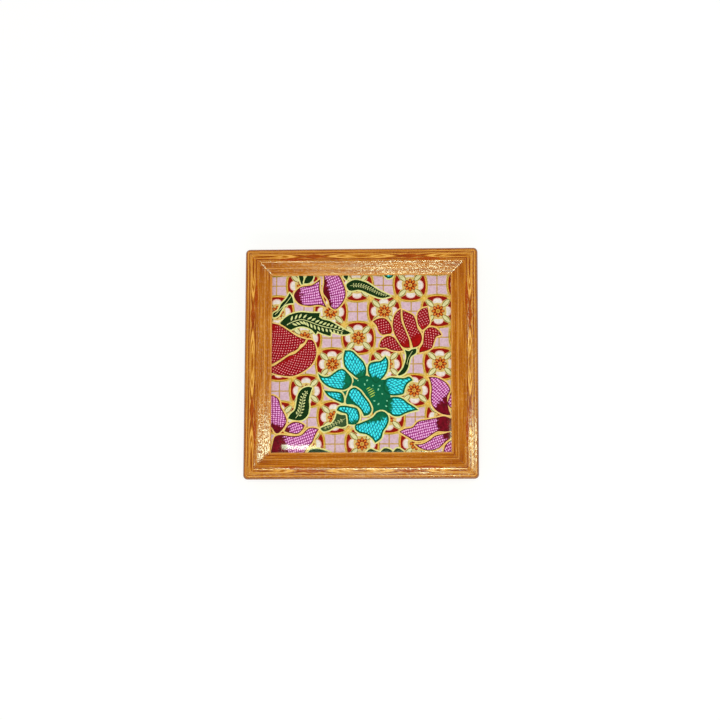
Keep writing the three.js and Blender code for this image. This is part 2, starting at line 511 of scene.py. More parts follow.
def board_material():
    """Pressed hardboard: brown fibres with darker flecks."""
    shader = Shader("hardboard")
    place = shader.place()
    fibre = shader.noise(shader.scaled(place, 0.5, 1.4), scale=1.8, detail=4.0, roughness=0.65)
    fleck = shader.noise(place, scale=5.0, detail=2.0)
    colour = shader.blend(fibre, 0.35, 0.65, "#5f3f24", "#8a633c")
    colour = shader.blend(fleck, 0.6, 0.7, colour, "#3f2814", most=0.5)
    return shader.finish(Base_Color=colour, Roughness=0.62, Normal=shader.bump(fibre, depth=0.04))


def foam_material():
    """Closed-cell foam, off-white, with fine bubbles whose hollows are painted greyer, as painted shade."""
    shader = Shader("foam_pad")
    place = shader.place()
    bubble = shader.cells(place, scale=3.0, output="Distance")
    tone = shader.noise(place, scale=0.3, detail=2.0)
    colour = shader.blend(tone, 0.3, 0.7, "#e6e2d6", "#f2f0e8")
    # painted shade: greyer in the bubbles' hollows, where the bump sinks
    colour = shader.blend(bubble, 0.2, 0.08, colour, "#cfc9ba")
    return shader.finish(Base_Color=colour, Roughness=0.9, Normal=shader.bump(bubble, depth=0.08))


def steel_material():
    """Bright strip with rolling lines and a little tarnish."""
    shader = Shader("steel_strip")
    place = shader.place()
    rolled = shader.noise(shader.scaled(place, 0.6, 0.6, 12.0), scale=1.0, detail=2.0)
    tarnish = shader.noise(place, scale=0.8, detail=3.0)
    colour = shader.blend(tarnish, 0.45, 0.75, "#a9adaf", "#84807a")
    rough = shader.plus(0.25, rolled, by=0.25)
    normal = shader.bump(rolled, depth=0.01)
    return shader.finish(Base_Color=colour, Metallic=1.0, Roughness=rough, Normal=normal)


# Meshes


def piece_of(shape, name, node, materials):
    """Turns a bmesh in millimetres into a piece that stands for a solid and rides with it."""
    bmesh.ops.recalc_face_normals(shape, faces=shape.faces)
    bmesh.ops.scale(shape, vec=(MM, MM, MM), verts=shape.verts)
    mesh = bpy.data.meshes.new(name)
    shape.to_mesh(mesh)
    shape.free()
    for material in materials:
        mesh.materials.append(material)
    piece = bpy.data.objects.new(name, mesh)
    bpy.context.scene.collection.objects.link(piece)
    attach(piece, "root")
    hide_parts(node)
    return piece


def unevenness(x, y, plane):
    """Smooth noise about 0 at a place on one of its planes, of which each use has its own."""
    return noise.noise(Vector((x, y, plane)))


def curve_points(start, corner, end, steps):
    """Points of a quadratic curve, both ends included."""
    t = np.linspace(0, 1, steps + 1)[:, None]
    a, b, c = (np.array(p, float) for p in (start, corner, end))
    return (1 - t) ** 2 * a + 2 * t * (1 - t) * b + t * t * c


def straight_points(start, end, steps):
    """Points of a straight run, without its ends."""
    t = np.linspace(0, 1, steps + 1)[1:-1, None]
    return np.array(start, float) * (1 - t) + np.array(end, float) * t


# Frame rails


def rail_section():
    """The section as (inset, height) points, up the outer wall, over the top and back by the rabbet.

    The second value is how many of the points belong to the lacquered outside.
    """
    lip_top = TILE_TOP - RAIL_BASE + LIP_THICKNESS
    band_slope = BAND_FALL / CREST_INSET
    inner_slope = (CREST_HEIGHT - lip_top) / (RAIL_WIDTH - CREST_INSET)
    band_outer = CREST_HEIGHT - BAND_FALL
    foot = (WALL_LEAN, 0.0)
    wall_top = (0.0, band_outer - EDGE_RADIUS)
    band_start = (EDGE_RADIUS, band_outer + EDGE_RADIUS * band_slope)
    crest_outer = (CREST_INSET - CREST_EASE, CREST_HEIGHT - CREST_EASE * band_slope)
    crest_inner = (CREST_INSET + CREST_EASE, CREST_HEIGHT - CREST_EASE * inner_slope)
    nose_top = (RAIL_WIDTH - NOSE_RADIUS, lip_top + NOSE_RADIUS * inner_slope)
    nose_face = (RAIL_WIDTH, lip_top - NOSE_RADIUS)
    lip_under = lip_top - LIP_THICKNESS
    rabbet = RAIL_WIDTH - LIP_LAP - RABBET_CLEARANCE
    wall_foot = (WALL_LEAN, FOOT_EASE)
    outside = np.vstack([
        curve_points((WALL_LEAN + FOOT_EASE, 0), foot, wall_foot, steps=5),
        straight_points(wall_foot, wall_top, steps=8),
        curve_points(wall_top, (0, band_outer), band_start, EDGE_STEPS),
        straight_points(band_start, crest_outer, steps=12),
        curve_points(crest_outer, (CREST_INSET, CREST_HEIGHT), crest_inner, steps=10),
        straight_points(crest_inner, nose_top, steps=16),
        curve_points(nose_top, (RAIL_WIDTH, lip_top), nose_face, NOSE_STEPS),
    ])
    inside = [(RAIL_WIDTH, lip_under), (rabbet, lip_under), (rabbet, 0)]
    return np.vstack([outside, inside]), len(outside)


def rail_plan(inset, travel):
    """Plan place on the front rail's line at an inset, at a share of travel from its middle to a mitre."""
    radius = max(CORNER_RADIUS - inset, 0.0)
    run = FRAME_HALF - max(inset, CORNER_RADIUS)
    gone = abs(travel) * (run + radius * math.pi / 4)
    side = math.copysign(1.0, travel)
    shrink = 1 - MITRE_GAP / (math.sqrt(2) * FRAME_HALF)
    if gone <= run:
        return side * gone * shrink, inset - FRAME_HALF, side * gone
    turn = (gone - run) / radius
    x = run + radius * math.sin(turn)
    y = -(FRAME_HALF - CORNER_RADIUS) - radius * math.cos(turn)
    return side * x * shrink, y, side * gone


def soft_least(a, b, reach):
    """The lesser of two values, rounded off where they are within reach of each other."""
    blend = max(reach - abs(a - b), 0.0) / reach
    return min(a, b) - blend * blend * reach / 4


def rail_stations():
    """Shares of the way from the rail's middle to each mitre, closer together near the mitres."""
    middle = np.linspace(0, MITRE_ZONE, MIDDLE_STATIONS)
    end = np.linspace(MITRE_ZONE, 1, END_STATIONS)[1:]
    half = np.concatenate([middle, end])
    return np.concatenate([-half[:0:-1], half])


def unrolled(section):
    """How far in each section point lies on the printed skin: its inset, or less than 0 down the wall."""
    depth = section[:, 0].copy()
    edge = int(np.argmax(section[:, 0] <= 0))
    for k in range(edge, -1, -1):
        depth[k] = depth[k + 1] - np.linalg.norm(section[k + 1] - section[k])
    return depth


def rail_rings(shape, section, lacquered):
    """The section's vertices at each station, and the place of each vertex on the grain map."""
    depth = unrolled(section)
    top_first = int(np.argmax(section[:, 0] <= 0)) + EDGE_STEPS
    top_end = lacquered - NOSE_STEPS
    top_inset, top_height = section[top_first:top_end].T
    rings, mapped = [], {}
    for travel in rail_stations():
        ring = []
        for k, (inset, height) in enumerate(section):
            x, y, along = rail_plan(inset, travel)
            if top_first <= k < top_end:
                eased = soft_least(inset, FRAME_HALF - abs(x), MITRE_FILL)
                ripple = unevenness(along / RIPPLE_LENGTH, inset / RIPPLE_WIDTH, plane=3.0)
                height = float(np.interp(eased, top_inset, top_height)) - RIPPLE * (0.5 + 0.5 * ripple)
            vertex = shape.verts.new((x, y, RAIL_BASE + height))
            mapped[vertex] = (along, depth[k])
            ring.append(vertex)
        rings.append(ring)
    return rings, mapped


def rail_shape():
    """The front rail: its section swept between two mitres, with the corners rounded in plan."""
    section, lacquered = rail_section()
    shape = bmesh.new()
    grain = shape.loops.layers.uv.new("grain")
    rings, mapped = rail_rings(shape, section, lacquered)
    count = len(section)
    for before, after in zip(rings, rings[1:]):
        for k in range(count):
            n = (k + 1) % count
            face = shape.faces.new((before[k], after[k], after[n], before[n]))
            face.smooth = k < lacquered - 1
            face.material_index = 0 if face.smooth else 1
    for ring in (rings[0], rings[-1]):
        shape.faces.new(ring).material_index = 1
    for face in shape.faces:
        for loop in face.loops:
            loop[grain].uv = mapped[loop.vert]
    return shape


def build_rails(wood, core):
    for turn, side in enumerate(("front", "right", "back", "left")):
        shape = rail_shape()
        spin = Matrix.Rotation(turn * math.pi / 2, 4, "Z")
        bmesh.ops.transform(shape, matrix=spin, verts=shape.verts)
        piece_of(shape, f"{side}_rail_moulding", f"frame_rail_{side}", [wood, core])


# Print on the tile: a list of outlines, each painted over the ones before it


def counter_clockwise(points):
    points = np.asarray(points, float)
    x, y = points[:, 0], points[:, 1]
    area = np.sum(x * np.roll(y, -1) - np.roll(x, -1) * y)
    return points if area > 0 else points[::-1]


class Print:
    """Outlines in millimetres with their paints, from the lowest layer to the highest."""

    def __init__(self):
        self.lay = np.eye(2)  # how the next outlines are stretched and leaned on the tile
        self.outlines = []
        self.paints = []
        self.petals = []

    def add(self, points, paint, petal=None):
        self.outlines.append(counter_clockwise(points @ self.lay))
        self.paints.append(paint)
        self.petals.append(petal)


def oval(centre, along, across, turn=0.0, steps=16):
    """An ellipse whose first radius points along turn."""
    t = np.linspace(0, 2 * math.pi, steps, endpoint=False)
    x, y = along * np.cos(t), across * np.sin(t)
    c, s = math.cos(turn), math.sin(turn)
    return np.stack([centre[0] + c * x - s * y, centre[1] + s * x + c * y], 1)


def bowed(start, end, bulge, steps=8):
    """Points from start to end on a curve that stands off by bulge to the left, without the end."""
    start, end = np.array(start, float), np.array(end, float)
    t = np.linspace(0, 1, steps, endpoint=False)[:, None]
    side = np.array([start[1] - end[1], end[0] - start[0]])
    side /= np.linalg.norm(side)
    return start + (end - start) * t + side * bulge * 4 * t * (1 - t)


def lens(start, end, width, steps=6):
    """A leaf shape pointed at both ends."""
    return np.vstack([bowed(start, end, width / 2, steps), bowed(end, start, width / 2, steps)])


def smooth_run(points, spacing=0.5):
    """Points of a curve that passes smoothly through the given ones, without the last."""
    points = np.array(points, float)
    steps = np.diff(points, axis=0)
    lengths = np.linalg.norm(steps, axis=1)[:, None]
    slopes = steps / lengths
    inner = (lengths[:-1] * slopes[1:] + lengths[1:] * slopes[:-1]) / (lengths[:-1] + lengths[1:])
    if len(points) > 2:
        first = 1.5 * slopes[:1] - 0.5 * inner[:1]
        last = 1.5 * slopes[-1:] - 0.5 * inner[-1:]
    else:
        first = last = slopes
    tangents = np.vstack([first, inner, last])
    made = []
    for k, length in enumerate(lengths[:, 0]):
        t = np.linspace(0, 1, max(round(length / spacing), 2), endpoint=False)[:, None]
        lead = (1 + 2 * t) * (1 - t) ** 2 * points[k] + t * t * (3 - 2 * t) * points[k + 1]
        swing = t * (1 - t) ** 2 * tangents[k] - t * t * (1 - t) * tangents[k + 1]
        made.append(lead + length * swing)
    return np.vstack(made)


def outline_of(runs):
    """A closed outline of smooth runs, with a corner where one run meets the next."""
    joined = zip(runs, runs[1:] + runs[:1])
    return counter_clockwise(np.vstack([smooth_run([*run, after[0]]) for run, after in joined]))


FOLD_SHARE = 0.88  # of the distance moved: points left closer to the outline belong to a fold


def grown(outline, by):
    """An outline moved outwards by a distance, without the folds that sharp tips would make."""
    ahead = np.roll(outline, -1, 0) - np.roll(outline, 1, 0)
    ahead /= np.linalg.norm(ahead, axis=1)[:, None]
    moved = outline + by * np.stack([ahead[:, 1], -ahead[:, 0]], 1)
    away = np.linalg.norm(moved[:, None] - outline[None], axis=2).min(1)
    return moved[away > FOLD_SHARE * abs(by)]


class Petal:
    """A petal's outline, with the line from its foot to its tip that the rows of dashes follow."""

    FAN = 2.2  # how far behind the foot the rows would meet, in lengths of the petal

    def __init__(self, foot, tip, deep, *runs):
        self.foot = np.array(foot, float)
        forward = np.array(tip, float) - self.foot
        self.length = np.linalg.norm(forward)
        self.forward = forward / self.length
        self.deep = deep
        self.outline = outline_of(list(runs))

    def mapped(self, points):
        """Places across the petal and along it from its deep foot, in rows that fan out a little."""
        reach = self.FAN * self.length
        gap = points - self.foot
        along = gap @ self.forward + reach
        across = gap @ np.array([-self.forward[1], self.forward[0]])
        fanned = reach * np.arctan2(across, along)
        return np.stack([fanned, np.hypot(along, across) - reach - self.deep], 1)


# Ground of the print: a lattice of flower cells and lilac squares
LATTICE_START = (24.5, 39.7)
LATTICE_PITCH = (13.46, 13.4)
LATTICE_LEAN = 0.49  # a row's shift to the right, from the row above it
LATTICE_COLUMNS = range(-6, 3)
LATTICE_ROWS = range(-1, 8)
CELL_RINGS = ((-2.0, "olive"), (-1.72, "star"), (-1.3, "gold"), (-0.85, "cream"))  # bulges
CRESCENT_INSET = 1.2
CRESCENT_BULGES = (-1.0, -2.1)
LOBE_INSET = 1.7
# A lobe's shift towards the cell's centre, and its radii
CELL_LOBES = ((0.0, 2.45, 1.8, "pink"), (0.3, 2.2, 1.6, "lobe"), (2.1, 3.0, 1.3, "cream"))
# From the cell's centre to both ends of a leaf, and the leaf's width
CELL_LEAVES = ((2.4, 8.9, 3.1, "cream"), (2.6, 8.6, 2.6, "moss"), (2.9, 8.4, 1.9, "leaf_pale"))
ROSETTE_PETALS = 8
ROSETTE_GROUND = 3.5
ROSETTE_RING = 2.3  # from its centre to a petal's centre
ROSETTE_PETAL = (1.1, 0.86)
ROSETTE_SIZES = ((1.0, "rosette"), (0.62, "orange"))  # of a petal with its rim, and without
ROSETTE_MIDDLE = 2.0
DOT_RING = 1.55
ROSETTE_DOT = (0.66, 0.46)
ROSETTE_EYE = ((0.95, "star"), (0.6, "rosette"), (0.34, "star"))  # radii
SQUARES = ((0.5, 0.3, 4, "cream"), (0.37, 0.45, 6, "lilac"))  # half sides in cells, bulges and steps
CROSS_REACH = 4.7
CROSS_HALF = 0.3
STAR_REACH = (2.3, 1.9)
STAR_WIDTH = 0.8
STAR_EYE = 0.4


def lattice_point(i, j):
    x = LATTICE_START[0] + i * LATTICE_PITCH[0] + j * LATTICE_LEAN
    return np.array([x, LATTICE_START[1] - j * LATTICE_PITCH[1]])


def cell_sides(i, j, half=0.5):
    """The four sides of a cell, counter-clockwise, each from corner to corner."""
    turns = ((-half, half), (half, half), (half, -half), (-half, -half))
    corners = [lattice_point(i + a, j + b) for a, b in turns]
    return list(zip(corners, corners[1:] + corners[:1]))


def lattice_flower(sheet, i, j):
    """A cell with a rosette, four leaves to its corners, and a lobe in a red crescent on each side."""
    centre = lattice_point(i, j)
    sides = cell_sides(i, j)
    for bulge, paint in CELL_RINGS:
        sheet.add(np.vstack([bowed(a, b, bulge) for a, b in sides]), paint)
    for a, b in sides:
        ahead = (b - a) / np.linalg.norm(b - a)
        inward = np.array([-ahead[1], ahead[0]])
        start, end = a + CRESCENT_INSET * ahead, b - CRESCENT_INSET * ahead
        outer, inner = CRESCENT_BULGES
        sheet.add(np.vstack([bowed(start, end, outer), bowed(end, start, inner)]), "red")
        turn = math.atan2(ahead[1], ahead[0])
        for shift, length, width, paint in CELL_LOBES:
            middle = (a + b) / 2 + (LOBE_INSET + shift) * inward
            sheet.add(oval(middle, length, width, turn), paint)
    for a, _ in sides:
        out = (a - centre) / np.linalg.norm(a - centre)
        for start, end, width, paint in CELL_LEAVES:
            sheet.add(lens(centre + start * out, centre + end * out, width), paint)
    draw_rosette(sheet, centre)


def draw_rosette(sheet, centre):
    """Orange petals rimmed in red about a ring of red dots and a ringed middle."""
    sheet.add(oval(centre, ROSETTE_GROUND, ROSETTE_GROUND), "cream")
    for size, paint in ROSETTE_SIZES:
        length, width = (size * radius for radius in ROSETTE_PETAL)
        for turn, out in spokes(0.0):
            sheet.add(oval(centre + ROSETTE_RING * out, length, width, turn, steps=8), paint)
    sheet.add(oval(centre, ROSETTE_MIDDLE, ROSETTE_MIDDLE), "orange")
    for turn, out in spokes(0.5):
        sheet.add(oval(centre + DOT_RING * out, *ROSETTE_DOT, turn, steps=8), "rosette")
    for radius, paint in ROSETTE_EYE:
        sheet.add(oval(centre, radius, radius, steps=10), paint)


def spokes(shift):
    """The turn of each of a rosette's petals and the way out along it, moved on by a share of a petal."""
    for k in range(ROSETTE_PETALS):
        turn = 2 * math.pi * (k + shift) / ROSETTE_PETALS
        yield turn, np.array([math.cos(turn), math.sin(turn)])


def lattice_square(sheet, i, j):
    """A lilac square with a thin cross, on cream that the cells beside it cut into."""
    for half, bulge, steps, paint in SQUARES:
        sheet.add(np.vstack([bowed(a, b, bulge, steps) for a, b in cell_sides(i, j, half)]), paint)
    centre = lattice_point(i, j)
    for x, y in ((CROSS_REACH, CROSS_HALF), (CROSS_HALF, CROSS_REACH)):
        sheet.add(centre + np.array([(-x, -y), (x, -y), (x, y), (-x, y)]), "tan")


def lattice_star(sheet, i, j):
    """The star where four cells meet."""
    node = lattice_point(i, j)
    for k in range(4):
        turn = k * math.pi / 4
        out = STAR_REACH[k % 2] * np.array([math.cos(turn), math.sin(turn)])
        sheet.add(lens(node - out, node + out, STAR_WIDTH, 4), "star")
    sheet.add(oval(node, STAR_EYE, STAR_EYE, steps=8), "line")


def draw_lattice(sheet):
    cells = [(i, j) for i in LATTICE_COLUMNS for j in LATTICE_ROWS]
    for i, j in cells:
        if (i + j) % 2:
            lattice_square(sheet, i, j)
    for i, j in cells:
        if (i + j) % 2 == 0:
            lattice_flower(sheet, i, j)
    for i, j in cells:
        lattice_star(sheet, i + 0.5, j + 0.5)


# Blooms: each petal is its foot, its tip, the length of its deep-coloured foot, and its outline
TULIP = [
    Petal((-34.2, 34.6), (-19, 36), 4.2,
          [(-20.8, 43.2), (-24.5, 40.4), (-31.5, 38.6), (-34, 35), (-31.5, 30.7), (-27, 29.4),
           (-20.6, 29.7)],
          [(-17.4, 28.4), (-19.9, 33.8), (-21, 38)]),
    Petal((-19.4, 35.6), (-8.4, 37.6), 3.6,
          [(-19, 48), (-12, 45.8), (-9, 40.4), (-7.9, 35), (-9.4, 30.9), (-13.5, 27.5), (-15.8, 29.2),
           (-16.6, 32), (-19.2, 36.2), (-18.9, 41)]),
]
HALF_BLOOM = [
    Petal((-45, 19), (-31, 6), 2.2,
          [(-47.6, 21), (-41.5, 19.8), (-36, 16.4), (-32, 13.8)],
          [(-27.8, 12.4), (-28.8, 10.6), (-30.6, 9.6), (-31.6, 7.8), (-33.6, 6.4), (-35.4, 5.6),
           (-38.2, 3.8), (-41.6, 1.5), (-47.6, -1.2)]),
    Petal((-35.4, 4.6), (-28, -6.6), 1.8,
          [(-26.8, 12.2), (-24.8, 12), (-22.9, 8.6), (-22.5, 5), (-24.4, 0), (-28.6, -3.8), (-34, -6.2),
           (-40, -6), (-47.6, -2.6)],
          [(-43.6, -1), (-40, 1.4), (-36.4, 3.9), (-33, 5.2), (-30.4, 7.6), (-28.4, 9.4)]),
]
LOTUS = [
    Petal((15.2, 15.4), (6, 21), 1.6,
          [(5.8, 21.2), (8.8, 22.8), (12, 22.6), (14.2, 20.4), (15, 15.2)],
          [(12.8, 14.7), (10.4, 14.5), (8.7, 16.2), (7.7, 19)]),
    Petal((20.8, 6.6), (9.5, 10.6), 1.6,
          [(21, 6.3), (18.4, 10.2), (16, 13.2), (13.4, 13.8), (10.8, 12.4), (9.3, 9.8), (9.2, 8.2)],
          [(12.4, 7.8), (15.6, 6.4), (18.4, 6)]),
    Petal((23.6, 7.6), (19.8, 27), 3.4,
          [(19.8, 27.6), (17.3, 25.4), (15.9, 21.6), (15.9, 17.4), (18, 12.2), (21.4, 7.8)],
          [(24.4, 7.7), (24, 11.2), (21.8, 17), (20.2, 21)]),
    Petal((28.6, 8.6), (20.8, 27), 5.4,
          [(20.6, 27), (23.4, 25.7), (26, 24.2), (27.5, 20.8), (28.2, 17.6), (30, 14.6), (30.4, 12),
           (29, 9)],
          [(25.9, 7.5), (25, 10.8), (23.2, 15.6), (21.2, 21), (20.7, 24)]),
    Petal((30.4, 16.8), (33, 28), 2.4,
          [(33.2, 28.2), (30.2, 27.4), (28.3, 25.2), (28, 22.6), (28.5, 19.6)],
          [(30.6, 16.6), (32.8, 18.3), (34.3, 20.2), (34, 23.4)]),
    Petal((29.2, 6), (38.6, 15.6), 3.2,
          [(40.2, 14), (39, 16), (37, 17.7), (34.2, 18), (31.9, 16.4), (31.2, 13), (30.8, 9.8), (29.2, 7)],
          [(29, 5.2), (32.4, 6), (35.3, 7.6), (36.4, 10.6), (37.6, 13.2)]),
]
WATER_BACK = [
    Petal((-0.6, -8), (-6.5, 6.4), 3.4,
          [(-8, 6.6), (-4.6, 6.4), (-1.6, 3.7), (1.2, 0.6), (2.4, -2.6), (1.6, -6.8), (-1.2, -7.8),
           (-4.8, -5.4), (-8.2, -1.6), (-8.8, 2)]),
    Petal((6, -9.6), (11.6, 3), 3.0,
          [(11.8, 3.6), (13.2, 1.6), (13.3, -1.2), (12.6, -4.4), (10.2, -7.9), (7, -10.2), (5, -8.4),
           (3.4, -5.2), (3.3, -1.8), (4, -0.2), (6.6, 0.8), (9.4, 1.2)]),
    Petal((11, -12.2), (24.8, -8.6), 2.6,
          [(25.2, -8.8), (22.6, -10.6), (21.2, -13.6), (20.8, -15.4)],
          [(18.4, -16.3), (14.6, -16.4), (11.4, -14.6), (10.6, -11), (11.2, -8.8), (14, -7.2), (17.4, -7.4),
           (21, -7.6), (23.4, -6.9)]),
    Petal((12.2, -21.6), (27, -23.6), 3.4,
          [(27.6, -23.8), (24, -24.6), (21.2, -25.6), (18.4, -26.9), (15.6, -26.8), (13.4, -25.2),
           (12, -21.6), (13, -18), (16.8, -17), (19.8, -17.8), (22.8, -20.2), (25.8, -22.2)]),
    Petal((-4.2, -9.8), (-20.6, -6), 4.6,
          [(-21.2, -4.9), (-19, -6.5), (-16.2, -6.5), (-13.4, -4.7), (-11.2, -3.2), (-9.2, -2.8), (-6.6, -5),
           (-4.6, -8.2), (-4.8, -10.6), (-8.4, -13.4), (-12, -13.2), (-15.2, -12.4), (-18.4, -10.4),
           (-20.4, -7.6)]),
    Petal((-8.6, -17.6), (-18, -14), 2.4,
          [(-18.4, -13.6), (-15.6, -14), (-12.2, -14.2), (-9.7, -15), (-8.7, -17), (-9, -20.1)],
          [(-11.4, -19.4), (-14.4, -17.9), (-16.8, -16.1)]),
]
WATER_FRONT = [
    Petal((4, -26.6), (6.2, -40), 3.6,
          [(6.4, -40.2), (4.8, -38), (2.2, -36), (-1.2, -35.2), (-3.3, -33.4), (-3.4, -31.4), (-0.4, -30)],
          [(2.4, -28.8), (5.4, -27.2), (7.4, -25), (10, -24.3), (12.4, -25.8), (13.2, -28.4), (12.4, -31.4),
           (10.4, -34.6), (9.4, -37.8)]),
    Petal((-4.4, -30.6), (-9.4, -21.4), 1.0,
          [(-12.3, -23.8), (-11.2, -21.8), (-8.6, -21.4), (-5, -22), (-2.3, -22.8), (-1.2, -25),
           (-1.2, -28.6), (-2.6, -30.6)],
          [(-6.8, -30.7), (-7, -27.6), (-7.4, -25.8), (-9.6, -25)]),
    Petal((1.6, -26.8), (-5, -12.6), 1.0,
          [(1, -26.7), (-0.6, -23.4), (-3.4, -20.8), (-5.8, -18.6), (-6.8, -15.8), (-5.8, -13.4),
           (-3.6, -12.2), (-1.2, -13.4), (1.5, -16.8), (4, -20.5), (4.9, -23.6), (3.6, -26)]),
]
SIDE_BLOOM = [
    Petal((43.4, -20.6), (34.6, -9.6), 3.4,
          [(33.6, -7.2), (37.2, -7.3), (40.4, -8.6), (43.2, -11), (44.4, -13.6), (43, -17), (43.2, -21.6)],
          [(44.6, -26.6), (40.2, -25.8), (37, -23.8), (35, -20.6), (34.7, -17), (35, -13.6), (34.6, -10)]),
    Petal((48, -22), (43.6, -17), 1.6,
          [(47.8, -14.6), (44.8, -15), (43.8, -17.6), (43, -20.2), (43.6, -22), (47.8, -23)]),
    Petal((46, -30.4), (21, -34), 8.2,
          [(19, -34.7), (21.8, -33.2), (25.3, -32.5), (28.4, -29.5), (32.8, -28.6), (37.4, -27.7),
           (41.4, -27), (44.8, -28.2), (48, -29)],
          [(48, -34), (41.8, -34.7), (37.8, -34.7), (35, -36.4), (31, -38.9), (26.8, -39.2), (23.4, -37.5)]),
    Petal((45.4, -36.2), (27, -41), 4.6,
          [(26.6, -40.9), (30.4, -40.7), (33.5, -39.2), (36.6, -36.9), (40.4, -35.9), (45.2, -35.4)],
          [(44.8, -37.6), (41.4, -40.4), (38.8, -42.9), (35.4, -44.1), (31, -43.7), (28.4, -42.4)]),
    Petal((48, -41), (41, -44.6), 1.4,
          [(47.8, -38), (45, -38.8), (41.9, -41.4), (40.9, -44.6), (41.4, -47.8), (47.8, -47.8)]),
]
CORNER_BLOOM = [
    Petal((-44, -34.6), (-42, -16), 4.2,
          [(-47.8, -17), (-44.2, -16), (-41.4, -17.8), (-40, -22), (-38, -25.8), (-37.1, -29), (-38.2, -32),
           (-42.2, -35.2)],
          [(-44.2, -32.4), (-47.8, -30)]),
    Petal((-38, -33.8), (-28.2, -31.2), 2.2,
          [(-38.2, -34.2), (-36.4, -31.2), (-33.8, -29.6), (-31, -29.7)],
          [(-28, -31.2), (-29.4, -33.8), (-31.6, -35.5), (-34.4, -35.3)]),
    Petal((-44.4, -40.4), (-21.4, -33.6), 7.0,
          [(-21, -33.2), (-23, -32.5), (-26, -32.7), (-27.8, -34.1), (-29.6, -35.9), (-33, -36.6),
           (-36.8, -36.3), (-40, -35.9), (-42.8, -36.8), (-44, -40.4), (-44.6, -47.8)],
          [(-29, -47.8), (-27.2, -43.4), (-24.2, -39.8), (-22.8, -36.4)]),
]
TIP_PETAL = [
    Petal((13.4, 47), (13.4, 43), 0.4, [(10.8, 47), (11.6, 44.6), (13.6, 43.2), (15.4, 43.8), (16.2, 47)]),
]

# Leaves and calyxes: their outlines
VEINED_LEAF = [
    [(-40.9, 20.8), (-37, 24.4), (-31, 26.2), (-25, 25.8)],
    [(-20.8, 25.8), (-21.2, 24.2), (-15, 21.2), (-9, 17.5)],
    [(-5, 15.4), (-8.4, 14.6), (-12, 15.2)],
    [(-15, 16.2), (-15.2, 15.2)],
    [(-15.4, 13.9), (-18.5, 14.8)],
    [(-22, 16.4), (-22.3, 15.7)],
    [(-22.9, 14.8), (-25, 17.2), (-30, 18.9)],
    [(-35.4, 17.2), (-38.8, 18.5)],
]
VEINED_RIB = [
    (-37.4, 19.8), (-33.7, 21.6), (-29.9, 22.4), (-26.2, 21.4), (-22.4, 19.9), (-19, 18.8), (-14.6, 17.8),
    (-9, 16.2),
]
SMALL_LEAF = [
    [(-24.4, -12.2), (-26.4, -11.8), (-29.4, -12.8), (-31.5, -15.6), (-32.2, -19), (-33.2, -23.6),
     (-35.6, -26)],
    [(-36.4, -27.8), (-33, -28.6), (-29, -28.4), (-26.7, -26.2), (-25.9, -22.6), (-26, -18)],
]
SMALL_RIB = [(-32.6, -27.6), (-30.4, -24), (-29.4, -19.6), (-28.8, -16.6), (-26.6, -13.8)]
DOTTED_LEAF = [
    [(14.9, 34.1), (8, 37.6), (2.5, 41.2), (-4.5, 42.4), (-7.6, 39.9), (-6.4, 37.4), (-1, 37.4),
     (5.5, 34.7), (10, 33.2)],
]
BUD_LEAVES = [
    [[(-31.8, 46), (-31, 42.4), (-30, 40.4)], [(-28.8, 42), (-29.4, 44.6), (-30, 47)]],
    [[(-29, 41), (-26, 41.4), (-24.4, 43.6), (-24.6, 46.4)], [(-27.6, 44.6), (-28.6, 42.8)]],
    [[(-26.8, -46), (-25, -43.3), (-21.6, -43), (-17.6, -44)], [(-14.4, -45.2), (-20, -47)]],
    [[(2.2, -45.6), (4.6, -43.2), (7.4, -44.2)], [(9.6, -45), (6, -47)]],
    [[(9.2, -45.6), (11.8, -42.9), (15, -43.8)], [(16.4, -45.2), (12, -47)]],
    [[(15.6, -45.6), (18, -42.9), (20.8, -44.2)], [(22, -45.6), (18, -47)]],
    [[(-9, 44.2), (-7.4, 42.6), (-6.8, 45), (-8.6, 46.6)]],
]
TULIP_CALYX = [
    [(-36.2, 36.2), (-34.8, 33.6)],
    [(-34.2, 30.9), (-38.5, 29.9), (-40.4, 27), (-42.3, 24.2), (-44.4, 23.8), (-44.4, 25.6), (-42, 27.2),
     (-40.5, 30.3), (-38, 33)],
]
LOTUS_CALYX = [
    [(21.8, 6.7), (23.8, 6), (25.6, 6.9)],
    [(27.6, 7.2), (27.4, 5.2), (24.8, 3), (24, 0.4), (23.2, -3), (21.2, -5.6), (18.4, -6.1)],
    [(18.4, -5.6), (20.6, -3), (21.9, 0.2), (22.5, 3)],
]
WATER_CALYX = [
    [(-12.3, -25.2), (-10.2, -26), (-7.4, -26.4)],
    [(-7.2, -28.8), (-7.6, -31.4), (-9.6, -32.2), (-12.6, -31.8), (-16.2, -33.8), (-19, -34.2), (-20.2, -33),
     (-17.6, -31.6), (-14.8, -30.4), (-13.3, -28.4)],
]
WATER_GROUND = ((1.6, -14.6), 11.5, 10.5)  # centre and radii of the dark oval under the water bloom
# The water bloom's dark middle, and the dark gap beside its front petal
WATER_HEART = [
    [(-2, -8), (2, -6.2), (5.6, -7.6), (9.6, -8.4), (12.6, -8.6), (13.8, -13), (14.2, -20), (14, -25.4),
     (10.6, -24.2), (6, -26), (4.6, -21), (1.4, -16.4), (-2.2, -12.2), (-4.6, -11)],
]
WATER_HOLLOW = [[(-7.7, -18.2), (-6.6, -15.4), (-3, -20), (-0.8, -22.4), (-4.4, -20.9), (-7.6, -20.4)]]
DOTTED_RIB = [(-5.8, 39.6), (-1, 39.8), (4, 38.1), (9, 35.6), (13, 34.4)]
TULIP_RIB = [(-35.6, 34.2), (-37.6, 31.4), (-40.4, 28.2), (-43.6, 25)]
LOTUS_RIB = [(25.6, 6), (23.6, 2.4), (22.8, -1)]
WATER_RIB = [(-8.2, -28), (-11, -29.4), (-15, -31.4), (-18.8, -33.2)]
